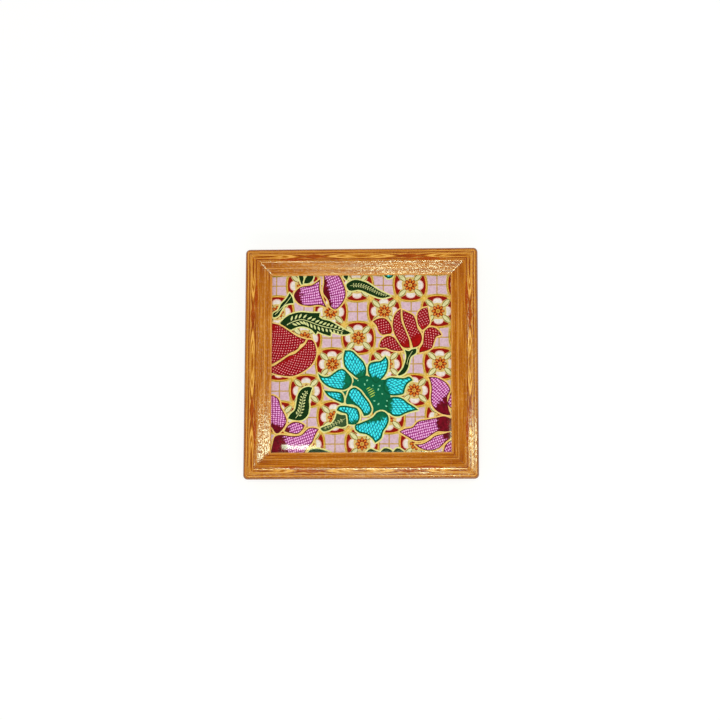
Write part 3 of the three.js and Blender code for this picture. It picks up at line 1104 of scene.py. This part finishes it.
SPARKS = [
    (-1.7, -8.7), (2.8, -8.7), (1.6, -10.8), (5.6, -11.4), (8.9, -11.5), (8.2, -13.4), (10.1, -15.6),
    (6.2, -19.1), (8.2, -20.7), (12.4, -19.1), (12.0, -21.8),
]
SPARK_LENGTH = (0.4, 0.12)  # of the least, and how much longer each of two more sizes is
SPARK_WIDTH = 0.36
SPARK_TURN = 0.9  # from one spark to the next
STAMENS = (2.4, 3.3, 3.8, 3.5, 2.9)  # lengths, from the tip of the front petal towards its foot
STAMEN_ROOT = np.array((2.3, -13.3))
STAMEN_STEP = np.array((0.46, -1.02))
STAMEN_WAY = np.array((0.86, 0.5))
STAMEN_WIDTH = 0.46
WATER_LAY = np.array([[1.02, 0.0], [-0.014, 1.0]])  # how the water bloom is stretched and leaned
VEIN_LEAN = (0.75, 0.66)  # a vein's way across the rib and ahead along it
VEIN_GAP = 0.3  # between a vein and its rib, as a share of the vein's length
VEIN_TAPER = 0.75  # how much shorter the last veins are than the first
RIB_STEP = 0.25
RIB_SHARE = 0.4  # a midrib's width, as a share of its veins'
OUTLINE = 0.7  # width of the wax line round a petal
RIMS = {"crimson": 0.4, "magenta": 0.5, "turquoise": 0.85}  # widths of the dark rims inside it


def draw_bloom(sheet, petals, line, rim, field, between=None):
    """Petals with their wax lines; a dark outline between lies on the lines and under the petals."""
    for petal in petals:
        sheet.add(grown(petal.outline, OUTLINE), line)
    if between:
        sheet.add(outline_of(between), "heart")
    for petal in petals:
        sheet.add(petal.outline, rim)
        sheet.add(grown(petal.outline, -RIMS[field]), field, petal)


def draw_leaf(sheet, runs, paint="leaf"):
    outline = outline_of(runs)
    sheet.add(grown(outline, OUTLINE), "pale_line")
    sheet.add(outline, paint)


def draw_midrib(sheet, rib, width):
    """A thin line along a rib: its points, and the directions ahead of and across each of them."""
    line = smooth_run(rib, RIB_STEP)
    ahead = np.gradient(line, axis=0)
    ahead /= np.linalg.norm(ahead, axis=1)[:, None]
    across = np.stack([-ahead[:, 1], ahead[:, 0]], 1)
    sheet.add(np.vstack([line + width / 2 * across, (line - width / 2 * across)[::-1]]), "vein")
    return line, ahead, across


def draw_veins(sheet, rib, length, spacing, width):
    """A midrib with a grain on each side of it at every step, shorter towards the leaf's tip."""
    line, ahead, across = draw_midrib(sheet, rib, RIB_SHARE * width)
    stride = round(spacing / RIB_STEP)
    for k in range(stride, len(line) - 1, stride):
        left = 1 - VEIN_TAPER * (k / len(line)) ** 3
        for hand in (1, -1):
            out = VEIN_LEAN[0] * hand * across[k] + VEIN_LEAN[1] * ahead[k]
            start = line[k] + VEIN_GAP * length * out
            sheet.add(lens(start, start + left * length * out, width, 4), "vein")


def draw_sparks(sheet):
    """Pale sparks on the water bloom's dark middle, and a tuft of stamens."""
    for k, spot in enumerate(SPARKS):
        length = SPARK_LENGTH[0] + SPARK_LENGTH[1] * (k % 3)
        sheet.add(oval(spot, length, SPARK_WIDTH, SPARK_TURN * k, steps=8), "spark")
    for k, length in enumerate(STAMENS):
        root = STAMEN_ROOT + k * STAMEN_STEP
        sheet.add(lens(root, root + length * STAMEN_WAY, STAMEN_WIDTH, 4), "stamen")


def draw_print():
    sheet = Print()
    sheet.add(rounded_square(TILE_HALF, TILE_CORNER), "cream")
    draw_lattice(sheet)
    for runs in BUD_LEAVES:
        draw_leaf(sheet, runs)
    draw_leaf(sheet, DOTTED_LEAF)
    draw_veins(sheet, DOTTED_RIB, length=1.1, spacing=1.25, width=0.44)
    draw_leaf(sheet, VEINED_LEAF)
    draw_veins(sheet, VEINED_RIB, length=2.9, spacing=2.0, width=0.95)
    draw_leaf(sheet, SMALL_LEAF)
    draw_veins(sheet, SMALL_RIB, length=1.7, spacing=1.5, width=0.7)
    draw_bloom(sheet, TULIP, "line", "maroon", "magenta")
    draw_leaf(sheet, TULIP_CALYX)
    draw_midrib(sheet, TULIP_RIB, width=0.3)
    draw_bloom(sheet, HALF_BLOOM, "line", "crimson_rim", "crimson")
    draw_bloom(sheet, LOTUS, "line", "crimson_rim", "crimson")
    draw_leaf(sheet, LOTUS_CALYX)
    draw_midrib(sheet, LOTUS_RIB, width=0.22)
    draw_bloom(sheet, SIDE_BLOOM, "line", "magenta_rim", "magenta")
    draw_bloom(sheet, CORNER_BLOOM, "line", "magenta_rim", "magenta")
    draw_bloom(sheet, TIP_PETAL, "pale_line", "teal_rim", "turquoise")
    sheet.lay = WATER_LAY
    sheet.add(oval(*WATER_GROUND), "heart")
    draw_bloom(sheet, WATER_BACK, "pale_line", "teal_rim", "turquoise", between=WATER_HEART)
    draw_sparks(sheet)
    draw_leaf(sheet, WATER_CALYX, "calyx")
    draw_veins(sheet, WATER_RIB, length=1.0, spacing=1.4, width=0.36)
    draw_leaf(sheet, WATER_HOLLOW, "heart")
    draw_bloom(sheet, WATER_FRONT, "pale_line", "teal_rim", "turquoise", between=WATER_HOLLOW)
    return sheet


# Ceramic tile


def rounded_square(half, radius, steps=6):
    """A square's outline with its corners turned, counter-clockwise."""
    points = []
    for quarter in range(4):
        turn = quarter * math.pi / 2
        c, s = math.cos(turn), math.sin(turn)
        for t in np.linspace(0, math.pi / 2, steps + 1):
            x = half - radius + radius * math.cos(t)
            y = half - radius + radius * math.sin(t)
            points.append((c * x - s * y, s * x + c * y))
    return np.array(points)


def tile_height(x, y):
    """Height of the glazed face: flat in the middle, rolling off towards the edges."""
    flat = TILE_HALF - CUSHION_WIDTH
    over = [max(abs(v) - flat, 0.0) / CUSHION_WIDTH for v in (x, y)]
    fall = min(math.hypot(*over), 1.0)
    return TILE_TOP - CUSHION_DROP * (1 - math.sqrt(1 - fall * fall))


def partition(sheet):
    """The sheet cut into triangles that each lie in one paint: points, triangles and top layers."""
    points, edges = [], []
    for outline in sheet.outlines:
        places = range(len(points), len(points) + len(outline))
        edges.extend(zip(places, (*places[1:], places[0])))
        points.extend(Vector(p) for p in outline)
    grid = np.arange(-TILE_HALF + FACE_SPACING / 2, TILE_HALF, FACE_SPACING)
    points.extend(Vector((x, y)) for x in grid for y in grid)
    cut = delaunay_2d_cdt(points, edges, [], 0, PRINT_MERGE, False)
    flat = np.array([tuple(p) for p in cut[0]])
    triangles = np.array(cut[2])
    layers = top_layers(sheet, flat[triangles].mean(1))
    return flat, triangles[layers >= 0], layers[layers >= 0]


def top_layers(sheet, spots):
    """The highest outline over each spot, or -1 for a spot outside the sheet's first outline."""
    top = np.full(len(spots), -1)
    by_x = np.argsort(spots[:, 0])
    sorted_x = spots[by_x, 0]
    for layer, outline in enumerate(sheet.outlines):
        low, high = outline.min(0), outline.max(0)
        first, last = np.searchsorted(sorted_x, (low[0], high[0]))
        near = by_x[first:last]
        near = near[(spots[near, 1] > low[1]) & (spots[near, 1] < high[1])]
        inside = near[within(outline, spots[near])]
        top[inside if layer == 0 else inside[top[inside] >= 0]] = layer
    return top


def within(outline, spots):
    """Which spots lie inside an outline, by how often a ray from each crosses it."""
    ax, ay = outline.T
    bx, by = np.roll(outline, -1, 0).T
    x, y = spots[:, :1], spots[:, 1:]
    spans = (ay > y) != (by > y)
    rise = np.where(ay == by, 1.0, by - ay)
    crossing = ax + (y - ay) * (bx - ax) / rise
    return np.count_nonzero(spans & (crossing > x), axis=1) % 2 == 1


def tile_top(shape, sheet, paint, petal_map):
    """The glazed face, with its paints as colours and its petals as materials of their own."""
    points, triangles, layers = partition(sheet)
    verts = {}
    for v in np.unique(triangles):
        x, y = points[v]
        verts[v] = shape.verts.new((x, y, tile_height(x, y)))
    colours = {name: linear(colour) for name, colour in PAINTS.items()}
    for triangle, layer in zip(triangles, layers):
        face = shape.faces.new([verts[v] for v in triangle])
        face.smooth = True
        name = sheet.paints[layer]
        if name in PETAL_FIELDS:
            face.material_index = 1 + PETAL_FIELDS.index(name)
            places = sheet.petals[layer].mapped(points[triangle])
            for loop, place in zip(face.loops, places):
                loop[petal_map].uv = place
        else:
            for loop in face.loops:
                loop[paint] = colours[name]


def tile_body(shape, biscuit):
    """The edge under the glazed face, down to the back, whose border is returned."""
    rim = [e for e in shape.edges if e.is_boundary]
    for drop in (*EDGE_DROPS, TILE_TOP):
        made = bmesh.ops.extrude_edge_only(shape, edges=rim)["geom"]
        rim = [g for g in made if isinstance(g, bmesh.types.BMEdge) and g.is_boundary]
        for v in {v for e in rim for v in e.verts}:
            v.co.z = max(v.co.z - drop, TILE_BASE)
    for face in shape.faces:
        if not face.smooth:
            face.material_index = biscuit
    return rim


def key_outlines():
    """The corners of each oblong key in the back."""
    half = TILE_HALF - KEY_MARGIN
    keys = int((2 * half - KEY_WIDTH) // KEY_PITCH) + 1
    for k in range(keys):
        y = (k - (keys - 1) / 2) * KEY_PITCH
        low, high = y - KEY_WIDTH / 2, y + KEY_WIDTH / 2
        yield (-half, low), (half, low), (half, high), (-half, high)


def rounded(point):
    """A place that can be looked up in spite of the last digits."""
    return tuple(round(c, 3) for c in point)


def tile_back(shape, rim, biscuit):
    """Closes the back, with its keys pressed in."""
    ring = walk(rim)
    points, faces = [], []
    for outline in (counter_clockwise([v.co.xy for v in ring]), *key_outlines()):
        faces.append(list(range(len(points), len(points) + len(outline))))
        points.extend(Vector(p) for p in outline)
    cut = delaunay_2d_cdt(points, [], faces, 1, BACK_MERGE, True)
    near = {rounded(v.co.xy): v for v in ring}
    made = [near.get(rounded(p)) or shape.verts.new((p.x, p.y, TILE_BASE)) for p in cut[0]]
    pressed = []
    for triangle, layers in zip(cut[2], cut[5]):
        if 0 in layers:
            face = shape.faces.new([made[v] for v in triangle])
            face.material_index = biscuit
            if max(layers) > 0:
                pressed.append(face)
    raised = bmesh.ops.extrude_face_region(shape, geom=pressed)["geom"]
    lifted = [g for g in raised if isinstance(g, bmesh.types.BMVert)]
    bmesh.ops.translate(shape, verts=lifted, vec=(0, 0, KEY_DEPTH))


def walk(edges):
    """The vertices of a closed loop of edges, in order round it."""
    links = {}
    for e in edges:
        for a, b in (e.verts, reversed(e.verts)):
            links.setdefault(a, []).append(b)
    first = edges[0].verts[0]
    ring, last, here = [first], first, links[first][0]
    while here is not first:
        ring.append(here)
        ahead = links[here]
        last, here = here, ahead[0] if ahead[0] is not last else ahead[1]
    return ring


def build_tile():
    petals = [petal_material(name, *look) for name, look in PETAL_LOOKS.items()]
    materials = [print_material(), *petals, biscuit_material()]
    biscuit = len(materials) - 1
    shape = bmesh.new()
    paint = shape.loops.layers.float_color.new("paint")
    petal_map = shape.loops.layers.uv.new("petal")
    tile_top(shape, draw_print(), paint, petal_map)
    tile_back(shape, tile_body(shape, biscuit), biscuit)
    piece_of(shape, "glazed_tile", "ceramic_tile", materials)


# Cork, pad, board and nails


def grid_sheet(half, corner, low, high, spacing, lift):
    """A sheet with rounded corners in plan, each face moved up at its points by lift(x, y, under)."""
    steps = int(2 * half / spacing)
    ticks = np.linspace(-half, half, steps + 1)
    shape = bmesh.new()
    layers = []
    for level in (low, high):
        rows = []
        for x in ticks:
            row = []
            for y in ticks:
                px, py = corner_pulled(x, y, half, corner)
                z = level + lift(px, py, level == low)
                row.append(shape.verts.new((px, py, z)))
            rows.append(row)
        layers.append(rows)
    for rows in layers:
        for i in range(steps):
            for j in range(steps):
                face = shape.faces.new((rows[i][j], rows[i + 1][j], rows[i + 1][j + 1], rows[i][j + 1]))
                face.smooth = True
    border = [(i, 0) for i in range(steps)] + [(steps, j) for j in range(steps)]
    border += [(i, steps) for i in range(steps, 0, -1)] + [(0, j) for j in range(steps, 0, -1)]
    under, over = layers
    for (i, j), (m, n) in zip(border, border[1:] + border[:1]):
        shape.faces.new((under[i][j], under[m][n], over[m][n], over[i][j]))
    return shape


def corner_pulled(x, y, half, radius):
    """A grid point of a square, drawn in where the square's corner is rounded."""
    over_x, over_y = abs(x) - (half - radius), abs(y) - (half - radius)
    if over_x <= 0 or over_y <= 0:
        return x, y
    longest = max(over_x, over_y)
    scale = longest / math.hypot(over_x, over_y)
    px, py = half - radius + over_x * scale, half - radius + over_y * scale
    return math.copysign(px, x), math.copysign(py, y)


def edge_share(x, y, half, width):
    """0 on a square sheet's field, rising to 1 across a border of a width."""
    return max(max(abs(x), abs(y)) - (half - width), 0.0) / width


def cork_pits(x, y, under):
    """Open pores on the sanded underside and crumbled spots along its edge."""
    if not under:
        return 0.0
    pore = max(unevenness(x / PORE_SIZE, y / PORE_SIZE, plane=7.0) - PORE_LEVEL, 0.0)
    crumb = CRUMB_DEPTH[0] + CRUMB_DEPTH[1] * unevenness(x / CRUMB_SIZE, y / CRUMB_SIZE, plane=2.0)
    return PORE_DEPTH * pore + crumb * edge_share(x, y, CORK_HIGH.x, CRUMBLED_EDGE)


def build_cork():
    shape = grid_sheet(CORK_HIGH.x, SHEET_CORNER, CORK_LOW.z, CORK_HIGH.z, CORK_SPACING, cork_pits)
    piece_of(shape, "cork_sheet", "cork_base", [cork_material()])


def pad_swell(x, y, under):
    """A foam pad's faces sink slightly at its cut edge."""
    edge = edge_share(x, y, PAD_HIGH.x, SUNKEN_EDGE)
    wave = unevenness(x / PAD_WAVE, y / PAD_WAVE, plane=5.0)
    sink = EDGE_SINK * edge * edge + PAD_UNEVENNESS * (1 + wave)
    return sink if under else -sink


def build_pad():
    shape = grid_sheet(PAD_HIGH.x, SHEET_CORNER, PAD_LOW.z, PAD_HIGH.z, PAD_SPACING, pad_swell)
    pad = piece_of(shape, "foam_bonding_pad", "tile_adhesive_pad", [foam_material()])


def dress_node(name, material, ease):
    """Gives a solid that keeps its shape its material and eased edges."""
    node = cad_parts[name]
    node.data.materials.clear()
    node.data.materials.append(material)
    bevel = node.modifiers.new("eased_edges", "BEVEL")
    bevel.width = ease * MM
    bevel.segments = 2
    bevel.limit_method = "ANGLE"


def dress_solids():
    dress_node("back_board", board_material(), BOARD_EASE)
    steel = steel_material()
    for corner in ("front_left", "front_right", "back_right", "back_left"):
        dress_node(f"corner_nail_{corner}", steel, NAIL_EASE)


# Floor, lamps and camera


def floor_material():
    """White card that keeps the shadow, and lets a view from below through."""
    shader = Shader("white_floor")
    shader.tree.nodes.remove(shader.surface)
    card = shader.node("BsdfDiffuse", {"Color": FLOOR_GREY}).outputs[0]
    path = shader.node("LightPath").outputs
    seen = shader.math("MAXIMUM", path["Is Camera Ray"], path["Is Glossy Ray"])
    seen = shader.math("MAXIMUM", seen, path["Is Transmission Ray"])
    glow = shader.node("Emission", {"Strength": shader.times(seen, FLOOR_GLOW)}).outputs[0]
    white = shader.node("AddShader", {0: card, 1: glow}).outputs[0]
    clear = shader.node("BsdfTransparent").outputs[0]
    below = shader.node("NewGeometry").outputs["Backfacing"]
    sides = shader.node("MixShader", {0: below, 1: white, 2: clear}).outputs[0]
    shader.put(shader.tree.nodes["Material Output"].inputs[0], sides)
    return shader.material


def build_floor():
    mesh = bpy.data.meshes.new("floor")
    corners = [(-1, -1), (1, -1), (1, 1), (-1, 1)]
    mesh.from_pydata([(x * FLOOR_HALF, y * FLOOR_HALF, -FLOOR_DROP) for x, y in corners], [], [(0, 1, 2, 3)])
    mesh.materials.append(floor_material())
    floor = bpy.data.objects.new("floor", mesh)
    bpy.context.scene.collection.objects.link(floor)
    floor.visible_diffuse = False
    floor.visible_shadow = False


def build_world():
    """Even light from all round under a dim ceiling, and white where the background is seen."""
    world = bpy.data.worlds.new("studio")
    bpy.context.scene.world = world
    sky = Nodes(world)
    up = sky.parts(sky.node("TexCoord").outputs["Generated"])[2]
    walls = sky.step(up, *WALL_EDGE, BELOW_LIGHT, WALL_LIGHT)
    level = sky.times(walls, sky.step(up, *CEILING_EDGE, 1.0, CEILING_SHARE))
    seen = sky.node("LightPath").outputs["Is Camera Ray"]
    background = sky.tree.nodes["Background"].inputs
    sky.put(background["Color"], "#ffffff")
    sky.put(background["Strength"], sky.node("Mix", {0: seen, 2: level, 3: 1.0}).outputs[0])


def build_lamps():
    for name, (x, y, width, depth, radiance) in LAMPS.items():
        light = bpy.data.lights.new(f"{name}_softbox", "AREA")
        light.shape = "RECTANGLE"
        light.size, light.size_y = width * MM, depth * MM
        light.energy = radiance * math.pi * light.size * light.size_y
        light.color = LAMP_TINT
        lamp = bpy.data.objects.new(light.name, light)
        lamp.location = Vector((x, y, LAMP_HEIGHT)) * MM
        lamp.visible_camera = False
        bpy.context.scene.collection.objects.link(lamp)


def build_camera():
    data = bpy.data.cameras.new("camera")
    data.lens, data.sensor_width = CAMERA_LENS, CAMERA_SENSOR
    camera = bpy.data.objects.new("camera", data)
    bpy.context.scene.collection.objects.link(camera)
    tilt, side = CAMERA_TILT, CAMERA_SIDE
    back = Vector((math.sin(side) * math.cos(tilt), -math.sin(tilt), math.cos(side) * math.cos(tilt)))
    back.normalize()
    right = Vector((0, 1, 0)).cross(back).normalized()
    up = back.cross(right)
    turned = Matrix((right, up, back)).transposed() @ Matrix.Rotation(CAMERA_ROLL, 3, "Z")
    place = (CAMERA_AIM + CAMERA_DISTANCE * back) * MM
    camera.matrix_world = Matrix.Translation(place) @ turned.to_4x4()
    bpy.context.scene.camera = camera


build_camera()
build_lamps()
build_world()
build_floor()
build_tile()
build_rails(wood_material(), core_material())
build_cork()
build_pad()
dress_solids()

bpy.context.scene.view_settings.view_transform = "Standard"
